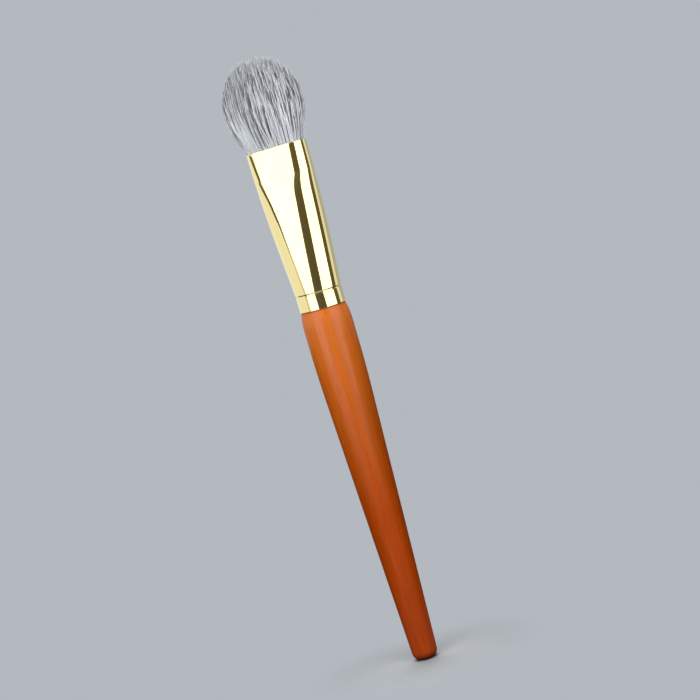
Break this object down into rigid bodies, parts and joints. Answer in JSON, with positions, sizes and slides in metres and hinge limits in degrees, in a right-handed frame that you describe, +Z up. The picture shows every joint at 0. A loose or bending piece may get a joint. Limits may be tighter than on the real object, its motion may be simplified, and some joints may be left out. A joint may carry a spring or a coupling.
{
  "type": "blush brush",
  "caption": "Blush brush: turned wooden handle, gold-plated ferrule pressed from round to oval at the mouth, and a domed tuft of mixed pale and dark hair.",
  "frame": {"origin": "centre of the flat end of the handle's tail, on which the upright brush stands", "axes": "+Z up the brush's axis from the tail to the hair; X is the wide way of the pressed ferrule mouth and of the tuft; Y is its thin way"},
  "size_m": [0.0225, 0.0145, 0.1781],
  "materials": {
    "lacquered_wood": "orange-brown wood under a satin lacquer",
    "cured_glue": "cured wood-to-metal glue, out of sight",
    "gold_plate": "polished pale gold plating",
    "cast_resin": "clear amber potting resin, out of sight",
    "waxed_cotton": "waxed cotton thread, out of sight",
    "hair": "soft straight hair, white and dark grey mixed"
  },
  "bodies": {
    "root": {"handle": "lacquered_wood", "tenon_glue": "cured_glue", "ferrule": "gold_plate", "root_resin": "cast_resin", "binding_thread": "waxed_cotton", "hair_tuft": "hair"}
  },
  "joints": []
}
